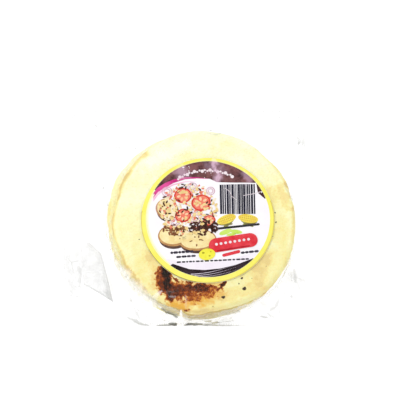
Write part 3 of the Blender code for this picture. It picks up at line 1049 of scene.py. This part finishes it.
# The print. Each ink is a flat field on the paper: a yellow border, a dark field over the top, a
# plain pattern of breads, tomato, onion and maize on white, a block of stripes and a red band. Some
# fields are painted shade: lines along the outer edge and a lilac band low down.
PRINT_STEP = 0.0016
PRINT_LAYER = 0.00002
BORDER_OUTER = 44.85
BORDER_INNER = 41.75
BORDER_SHIFT = (0.2, 0.8)
# Painted highlights where the film and paper glare on the print, and at the left a painted lavender shade.
SHEENS = (
    (12.6, 38, 15.4, 27, 2, 0.85), (10, 35, 18, 31, 3.6, 0.26), (-10.5, 34, -8, 29, 3.2, 0.5),
    (33, 31, 36, 26, 2.4, 0.4), (-28, 8, -27, -2, 3, 0.3),
)

# Each ink's colour, its colour where it is worn, the size of its mottles in metres and its colour under
# painted highlight and shade. The last two have usual values.
INKS = {
    "yellow": ((253, 247, 124), (249, 240, 104), 0.011, (254, 250, 196)),
    "faded": ((251, 248, 188), (252, 250, 212), 0.011, (254, 252, 226)),
    "paled": ((254, 253, 226), (254, 252, 236), 0.011, (254, 252, 240)),
    # The line and ochre inks are painted shadow along the sticker's outer edge.
    "line": ((134, 118, 40), (176, 156, 60)),
    "ochre_shade": ((236, 218, 108), (222, 202, 96)),
    "plum": ((72, 42, 44), (134, 88, 88), 0.006),
    "dark": ((58, 34, 34), (92, 60, 58), 0.006),
    "magenta": ((196, 40, 122), (226, 84, 156), 0.008),
    "pink": ((246, 182, 212), (252, 214, 232)),
    "pale": ((250, 242, 244), (236, 220, 226)),
    "lilac_shade": ((243, 234, 246), (250, 244, 251)),
    "foot": ((34, 22, 28), (60, 46, 54), 0.006),
    "silver": ((226, 218, 230), (186, 176, 190), 0.004),
    "under": ((70, 50, 46), (110, 84, 72), 0.004),
    "rim": ((206, 160, 104), (176, 122, 76), 0.004),
    "bread": ((252, 238, 184), (244, 218, 150), 0.004),
    "toast": ((150, 96, 60), (120, 74, 50), 0.004),
    "cream": ((246, 226, 184), (252, 240, 214), 0.004),
    "chop": ((224, 106, 84), (238, 150, 122), 0.004),
    "ring": ((206, 156, 176), (232, 200, 214), 0.004),
    "skin": ((206, 52, 46), (224, 78, 62), 0.004),
    "flesh": ((236, 110, 90), (244, 150, 124), 0.004),
    "lobe": ((252, 214, 176), (246, 190, 140), 0.004),
    "bean": ((96, 56, 42), (58, 36, 32), 0.004),
    "kernel": ((236, 200, 128), (246, 222, 160), 0.004),
    "stripes": ((18, 18, 36), (40, 40, 58), 0.005),
    "husk": ((150, 150, 84), (112, 92, 62), 0.004),
    "maize": ((246, 232, 96), (238, 206, 84), 0.004),
    "rows": ((206, 160, 74), (232, 196, 88), 0.004),
    "lime": ((190, 226, 78), (214, 238, 130), 0.005),
    "rule": ((40, 40, 44), (58, 56, 60)),
    "red": ((218, 44, 58), (232, 74, 84), 0.006),
    "deep_red": ((166, 26, 42), (190, 40, 54), 0.006),
    "cheese": ((248, 244, 84), (240, 230, 66), 0.004),
    "hole": ((196, 184, 48), (168, 160, 44)),
    "grey": ((40, 36, 46), (78, 72, 86)),
}


def turned(u, v, turn):
    """Places turned about the middle."""
    return u * math.cos(turn) - v * math.sin(turn), u * math.sin(turn) + v * math.cos(turn)


def lay_print(mesh, layer):
    """Turns a flat print in millimetres to the sticker's own turn, and lays it on the paper."""
    flat = np.array([vert.co[:2] for vert in mesh.vertices]) * 0.001
    across, along = turned(flat[:, 0], flat[:, 1], PRINT_TURN)
    places = label_places(LABEL_MIDDLE[0] + across, LABEL_MIDDLE[1] + along)
    places[:, 2] += layer * PRINT_LAYER
    mesh.vertices.foreach_set("co", places.ravel())
    mesh.update()
    # Painted highlight and shade on the print.
    paint_points(mesh, sheen=marked(places, SHEENS, 2.5, 61))


def print_field(name, outlines, layer, ink):
    """Prints flat outlines, in millimetres from the sticker's middle, as one field of ink."""
    shape = bmesh.new()
    for outline in outlines:
        face = shape.faces.new([shape.verts.new((u, v, 0)) for u, v in outline])
        face.normal_update()
        if face.normal.z < 0:
            face.normal_flip()
    bmesh.ops.triangulate(shape, faces=shape.faces[:])
    step = 1000 * PRINT_STEP
    for axis, across in ((0, Vector((1, 0, 0))), (1, Vector((0, 1, 0)))):
        spans = [vert.co[axis] for vert in shape.verts]
        for i in range(math.ceil(min(spans) / step), math.ceil(max(spans) / step)):
            everything = shape.verts[:] + shape.edges[:] + shape.faces[:]
            bmesh.ops.bisect_plane(shape, geom=everything, plane_co=across * i * step, plane_no=across)
    mesh = bpy.data.meshes.new("print_" + name)
    shape.to_mesh(mesh)
    shape.free()
    lay_print(mesh, layer)
    piece = placed(mesh.name, mesh, inks[ink])
    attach(piece, "root")


def oval(u, v, half_u, half_v, turn, count=28, uneven=0.0):
    """An oval outline, with an uneven edge where asked."""
    angles = np.linspace(0, 2 * math.pi, count, endpoint=False)
    wave = 1 + uneven * (np.sin(3 * angles + 7 * u) + 0.7 * np.sin(5 * angles + 5 * v))
    p, q = turned(half_u * wave * np.cos(angles), half_v * wave * np.sin(angles), turn)
    return list(zip(u + p, v + q))


def arc(radius, start, end, middle, count):
    """Points along a circle between two angles in degrees."""
    angles = np.radians(np.linspace(start, end, count))
    return list(zip(middle[0] + radius * np.cos(angles), middle[1] + radius * np.sin(angles)))


def round_band(inner, outer, start, end, pieces, middle=(0, 0), outer_middle=None):
    """Outlines of short pieces of a ring between two angles in degrees."""
    stops = np.linspace(start, end, pieces + 1)
    return [
        arc(inner, a, b, middle, 9) + arc(outer, b, a, outer_middle or middle, 9)
        for a, b in zip(stops[:-1], stops[1:])
    ]


def bar(u1, v1, u2, v2, half, count=8):
    """A straight bar with round ends."""
    lean = math.degrees(math.atan2(v2 - v1, u2 - u1))
    points = []
    for u, v, start in ((u2, v2, lean - 90), (u1, v1, lean + 90)):
        points += arc(half, start, start + 180, (u, v), count)
    return points


def swoosh(middles, thickness):
    """An outline that follows a line of points, thick at its start and pointed at its end."""
    count = len(middles) - 1
    lower = [(u, v - thickness * (1 - i / count)) for i, (u, v) in enumerate(middles)]
    return middles + lower[-2::-1]


def dashes(u, v, length, half, lean, seed):
    """A broken rule: a row of short bars of uneven length."""
    rng = np.random.default_rng(seed)
    row, along = [], 0.0
    while along < length:
        run = rng.uniform(0.6, 2.4)
        row.append(bar(u + along, v + lean * along, u + along + run, v + lean * (along + run), half, 3))
        along += run + rng.uniform(1.1, 1.5)
    return row


def wedge(u, v, size, turn):
    """A quarter-round cut piece."""
    return [(u, v)] + arc(size, turn, turn + 95, (u, v), 8)


inks = {name: coated("ink_" + name, *colours) for name, colours in INKS.items()}
border = round_band(BORDER_INNER, BORDER_OUTER, 0, 360, 36, BORDER_SHIFT, (0, 0))
print_field("border", border, 1, "yellow")
for name, inset, start, end, ink in (
    ("fringe", 0.9, 146, 228, "faded"),
    ("outer_fringe", 1.8, 150, 222, "paled"),
):
    fringe = round_band(BORDER_INNER - inset, BORDER_INNER - inset + 1, start, end, 12, BORDER_SHIFT)
    print_field(name, fringe, 2, ink)
# Painted shadow: dark and pale olive lines along the sticker's outer edge.
print_field("lines", round_band(BORDER_OUTER - 0.36, BORDER_OUTER + 0.08, -156, -104, 10), 4, "line")
rim_shadow_lines = round_band(BORDER_OUTER - 0.5, BORDER_OUTER + 0.08, -192, -156, 8)
rim_shadow_lines += round_band(BORDER_OUTER - 0.6, BORDER_OUTER + 0.08, -104, 14, 20)
print_field("ochre_edge_shadow", rim_shadow_lines, 4, "ochre_shade")

inner = BORDER_INNER - 0.1
crest = [
    (-35.6, 21.5), (-32.2, 25.4), (-27.0, 28.4), (-21.4, 30.4), (-13.2, 31.8),
    (-5.0, 31.2), (3.7, 29.4), (8.0, 26.8), (20.0, 25.4), (34.4, 24.3),
]
print_field("cap", [arc(inner, 35, 151, BORDER_SHIFT, 60) + crest], 1, "plum")
corner = [(34.6, 24.3), (35.1, 17.1), (39.6, 12.4)] + arc(inner, 17, 34, BORDER_SHIFT, 8)
print_field("corner", [corner], 1, "dark")
print_field("magenta", [swoosh(crest[:7], 5.2)], 2, "magenta")
print_field("pink", [swoosh([(u, v - 3.2) for u, v in crest[:6]], 2.6)], 3, "pink")

beads = []
for i in range(23):
    lean = math.radians(121 - 2.9 * i)
    size = 0.74 + 0.46 * (i % 3 == 1)
    lift = 34.6 + 0.7 * (i % 2)
    beads.append(oval(lift * math.cos(lean), 0.8 + lift * math.sin(lean), size, size, 0, 10))
print_field("beads", beads, 3, "pale")

foot = arc(inner, -131, -48, BORDER_SHIFT, 60) + [
    (28.6, -29.4), (16.0, -33.4), (5.7, -35.2), (-4.5, -35.6), (-14.6, -34.2), (-25.6, -29.6),
]
# Painted shade: a faint lilac band low on the white paper, above the dark foot.
band = arc(inner, -141, -38, BORDER_SHIFT, 60) + [(16.0, -28.6), (0.0, -30.4), (-16.0, -29.2)]
print_field("lilac_shade", [band], 1, "lilac_shade")
print_field("foot", [foot], 2, "foot")
waves = []
for k in range(3):
    steps = np.arange(12)
    rise = -36.4 - 1.2 * k - 1.4 * np.sin(0.24 * steps + 0.9) + 0.022 * steps ** 2
    waves.append(swoosh(list(zip(-14 + 2.4 * k + 2.7 * steps, rise)), 0.55 - 0.10 * k))
print_field("waves", waves, 3, "silver")


def pantry():
    """Outlines of round breads, tomato and onion slices, beans and kernels, laid out by a rule."""
    rng = np.random.default_rng(12)
    kinds = {name: [] for name in (
        "under", "rim", "bread", "toast", "cream", "chop",
        "ring", "skin", "flesh", "lobe", "bean", "kernel",
    )}
    breads = ((-23.5, -9.5, 10.6, 8.0), (-7.6, -14.2, 12.6, 7.4), (-27.0, 10.0, 7.4, 7.4))
    for u, v, half_u, half_v in breads:
        kinds["under"].append(oval(u + 0.6, v - 1.9, half_u, half_v, 0.05, 40))
        kinds["rim"].append(oval(u, v, half_u, half_v, 0.05, 40, 0.008))
        kinds["bread"].append(oval(u, v + 0.5, half_u - 1.1, half_v - 1.0, 0.05, 40, 0.010))
        for _ in range(7):
            off, turn = rng.uniform(0.1, 0.8), rng.uniform(0, 6.28)
            spot = (u + off * (half_u - 2) * math.cos(turn), v + 0.5 + off * (half_v - 2) * math.sin(turn))
            kinds["toast"].append(oval(*spot, rng.uniform(0.4, 1.3), rng.uniform(0.3, 0.6), turn, 10, 0.1))
    slices = ((-15.5, 18.5, 6.0), (-3.6, 12.4, 6.6), (-16.4, 4.2, 5.4), (1.0, -0.8, 4.2))
    for u, v, size in slices:
        kinds["skin"].append(oval(u, v, size, 0.9 * size, 0.2, 30, 0.010))
        kinds["flesh"].append(oval(u, v, 0.84 * size, 0.74 * size, 0.2, 30, 0.014))
        for i in range(6):
            turn = 1.047 * i + u
            lobe = (u + 0.48 * size * math.cos(turn), v + 0.43 * size * math.sin(turn))
            kinds["lobe"].append(oval(*lobe, 0.22 * size, 0.14 * size, turn, 12))
    onions = ((-26.0, 22.0, 3.6), (-8.6, 24.2, 3.4), (-8.2, 2.0, 4.0), (3.4, 20.6, 3.0), (-22.0, 0.0, 3.0))
    for u, v, size in onions:
        for share in (1.0, 0.62):
            kinds["ring"] += round_band(share * size - 0.55, share * size, 0, 360, 6, (u, v))
    for u, v, half_u, half_v, count, kind in (
        (-3.4, -5.4, 10.4, 5.2, 84, "bean"),
        (-22.5, -5.6, 8.4, 3.4, 44, "toast"),
    ):
        for _ in range(count):
            off, turn = rng.uniform(0, 1) ** 0.6, rng.uniform(0, 6.28)
            spot = (u + half_u * off * math.cos(turn), v + half_v * off * math.sin(turn))
            sizes = (rng.uniform(1.1, 1.7), rng.uniform(0.55, 0.8))
            kinds[kind].append(oval(*spot, *sizes, rng.uniform(0, 3.14), 12))
    for row in range(20):
        for column in range(21):
            u = -33.0 + 2.0 * column + (row % 2) + rng.uniform(-0.8, 0.8)
            v = -9.0 + 1.85 * row + rng.uniform(-0.8, 0.8)
            size, turn, pick = rng.uniform(0.8, 1.7), rng.uniform(0, 6.28), rng.uniform()
            if ((u + 12.6) / 19.6) ** 2 + ((v - 8.6) / 18.6) ** 2 > 1 or rng.uniform() < 0.1:
                continue
            kind = ("chop", "cream", "bean", "kernel")[sum(pick >= share for share in (0.20, 0.66, 0.78))]
            if kind == "chop":
                kinds[kind].append(wedge(u, v, 1.3 * size, math.degrees(turn)))
            else:
                slim = {"cream": 0.6, "bean": 0.4, "kernel": 0.6}[kind]
                long = 1.4 * size if kind == "cream" else size
                kinds[kind].append(oval(u, v, long, slim * size, turn, 10))
    return kinds


for layer, (kind, outlines) in enumerate(pantry().items(), 2):
    print_field(kind, outlines, layer, kind)

STRIPES_MIDDLE = (21.6, 13.4)
STRIPES_SIZE = (24.8, 21.4)
STRIPES_TURN = -0.055


def stripe_tree():
    """A row of upright stripes, each as wide as its point says."""
    tree, first, last = new_tree("stripes", Height=20.0)
    sizes = {"Size X": 1.0, "Size Y": 1.0, "Vertices X": 2, "Vertices Y": 14}
    shape = wire(tree, "GeometryNodeMeshGrid", sizes)
    scale = three_sizes(tree, X=point_value(tree, "size"), Y=first["Height"], Z=1.0)
    points, stripe = first["Geometry"], shape.outputs[0]
    close_tree(tree, last, inks["stripes"], Points=points, Instance=stripe, Scale=scale)
    return tree


rng = np.random.default_rng(7)
places, widths, u = [], [], -STRIPES_SIZE[0] / 2
while u < STRIPES_SIZE[0] / 2 - 1.2:
    width = float(rng.choice((0.5, 0.5, 0.95, 1.4)))
    places.append((u + width / 2, 0, 0))
    widths.append(width)
    u += width + float(rng.choice((0.22, 0.30, 0.48)))
mesh = bpy.data.meshes.new("stripes")
mesh.from_pydata(places, [], [])
paint_points(mesh, size=widths)
stripes = grown("print_stripes", mesh, stripe_tree(), Height=STRIPES_SIZE[1])
for vert in stripes.data.vertices:
    across, along = turned(vert.co.x, vert.co.y, STRIPES_TURN)
    vert.co = (STRIPES_MIDDLE[0] + across, STRIPES_MIDDLE[1] + along, 0)
lay_print(stripes.data, 4)
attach(stripes, "root")

scuffs = (
    (13.3, 21.9, 16.4, 19.2, 0.16), (16.4, 19.2, 17.2, 15.8, 0.14), (17.2, 15.8, 20.6, 12.9, 0.17),
    (25.3, 15.7, 31.4, 16.4, 0.18), (31.4, 16.4, 37.9, 17.8, 0.22),
)
print_field("scuffs", [bar(*scuff, 4) for scuff in scuffs], 6, "pale")

cobs, rows, husks = [], [], []
for u, v, turn in ((12.6, -0.6, 0.32), (27.2, -0.9, -0.24)):
    cobs.append(oval(u, v, 6.8, 3.1, turn, 30))
    for i in range(9):
        for k in (-1, 0, 1):
            p, q = -5.2 + 1.3 * i, 1.5 * k
            if (p / 6.2) ** 2 + (q / 2.7) ** 2 < 1:
                across, along = turned(p, q, turn)
                rows.append(oval(u + across, v + along, 0.42, 0.5, turn, 8))
    for side in (-1, 1):
        husks.append(oval(u + 1.0 * side, v - 3.4, 5.0, 1.1, turn + 0.35 * side, 20))
print_field("husks", husks, 1, "husk")
print_field("cobs", cobs, 2, "maize")
print_field("rows", rows, 3, "rows")
leaves = ((11.4, -9.6, 4.6, 1.7, 0.3), (18.4, -9.9, 4.2, 1.5, -0.2), (15.0, -11.6, 3.4, 1.0, 0.1))
print_field("leaves", [oval(*leaf) for leaf in leaves], 1, "lime")
print_field("rule", [bar(6.6, -6.9, 33.8, -5.5, 0.8)], 4, "rule")
print_field("band", [bar(4.4, -18.6, 27.4, -16.6, 5.0, 14)], 14, "red")
print_field("band_edge", [bar(5.0, -22.6, 26.4, -20.7, 0.45)], 15, "deep_red")
dots = [oval(4.6 + 3.1 * i, -17.9 + 0.27 * i, 0.95, 0.95, 0, 14) for i in range(8)]
print_field("dots", dots, 15, "pale")
print_field("dash", [bar(9.0, -26.0, 19.0, -24.2, 1.1)], 4, "red")
print_field("cheese", [oval(-2.2, -24.6, 5.6, 4.1, 0.1)], 16, "cheese")
holes = ((-4.6, -23.4, 0.9), (-0.6, -25.8, 0.7), (0.4, -22.9, 0.5))
print_field("holes", [oval(u, v, size, 0.8 * size, 0, 12) for u, v, size in holes], 17, "hole")
small_rules = dashes(-26.0, -22.0, 15.0, 0.85, 0.01, 3) + dashes(-22.4, -25.2, 12.0, 0.70, 0.01, 4)
small_rules += dashes(-22.4, -28.8, 46.0, 0.55, -0.02, 5) + dashes(21.0, -25.2, 11.0, 0.80, 0.05, 6)
print_field("small_rules", small_rules, 3, "grey")


# The room: a plain white light table, a broad soft lamp at the upper left, and the camera.
LAMP_PLACE = Vector((-0.45, 0.35, 0.95))
LAMP_SIZE = 0.5
LAMP_POWER = 3
FLOOR_REACH = 3
FLOOR_GLOW = 0.9
CAMERA_DISTANCE = 1.6
SENSOR_WIDTH = 36
FRAME_WIDTH = 0.2745
AIM = Vector((0.0034, 0.0131, 0.0))

floor_mesh = bpy.data.meshes.new("floor")
floor_corners = [(FLOOR_REACH * x, FLOOR_REACH * y, 0) for x, y in ((-1, -1), (1, -1), (1, 1), (-1, 1))]
floor_mesh.from_pydata(floor_corners, [], [(0, 1, 2, 3)])
floor_finish, tree, shader, _, _ = new_finish("pale_floor")
fill(tree, shader, {
    "Base Color": (0.2, 0.2, 0.2, 1),
    "Roughness": 0.9,
    "Specular IOR Level": 0.1,
    "Emission Color": (1, 1, 1, 1),
    "Emission Strength": FLOOR_GLOW,
})
floor = placed("floor", floor_mesh, floor_finish)

world = bpy.data.worlds.new("studio")
world.use_nodes = True
fill(world.node_tree, world.node_tree.nodes["Background"], {"Color": (1, 1, 1, 1), "Strength": 1.0})
bpy.context.scene.world = world
bpy.context.scene.view_settings.view_transform = "Standard"

lamp_data = bpy.data.lights.new("softbox", "AREA")
lamp_data.shape = "DISK"
lamp_data.size = LAMP_SIZE
lamp_data.energy = LAMP_POWER
lamp = bpy.data.objects.new("softbox", lamp_data)
lamp.location = LAMP_PLACE
lamp.rotation_euler = (-LAMP_PLACE).to_track_quat("-Z", "Y").to_euler()
bpy.context.scene.collection.objects.link(lamp)

camera_data = bpy.data.cameras.new("camera")
camera_data.sensor_width = SENSOR_WIDTH
camera_data.lens = SENSOR_WIDTH * CAMERA_DISTANCE / FRAME_WIDTH
camera = bpy.data.objects.new("camera", camera_data)
ahead = Vector((0, math.cos(VIEW_RISE), -math.sin(VIEW_RISE)))
camera.location = AIM - CAMERA_DISTANCE * ahead
camera.rotation_euler = ahead.to_track_quat("-Z", "Y").to_euler()
bpy.context.scene.collection.objects.link(camera)
bpy.context.scene.camera = camera
